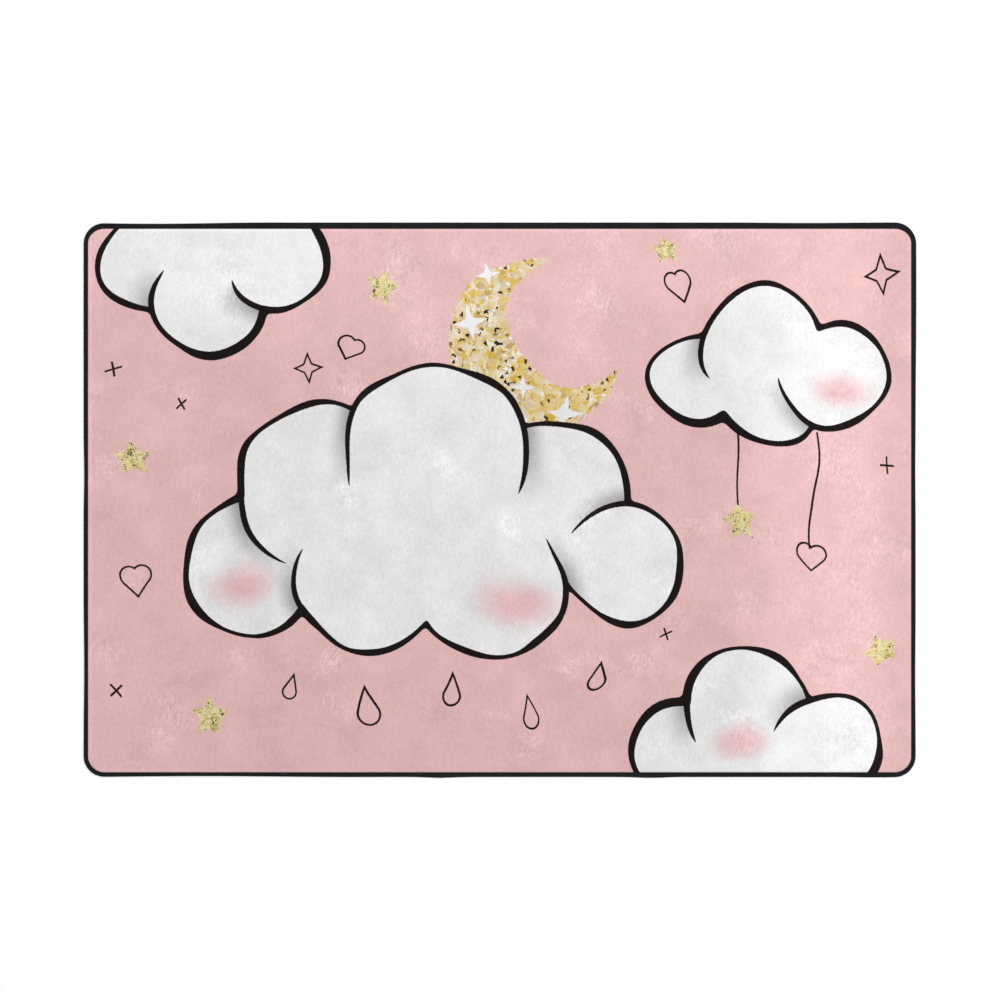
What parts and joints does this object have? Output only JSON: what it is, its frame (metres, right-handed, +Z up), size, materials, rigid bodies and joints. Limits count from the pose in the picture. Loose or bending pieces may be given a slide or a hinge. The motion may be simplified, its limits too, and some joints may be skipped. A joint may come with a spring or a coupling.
{
  "type": "printed kids floor rug with bound edge",
  "caption": "Flat rectangular padded floor rug for a child's room, printed flannel on top, with rounded corners and a folded tape sewn round its edge.",
  "frame": {"origin": "on the floor, under the middle of the rug's outline", "axes": "+X along the long side, +Y along the short side towards the top of the print, +Z up out of the floor"},
  "size_m": [1.8306, 1.2208, 0.0065],
  "materials": {
    "printed_flannel": "matte",
    "binding_tape": "matte"
  },
  "bodies": {
    "root": {"mat": "printed_flannel", "edge_binding": "binding_tape"}
  },
  "joints": []
}
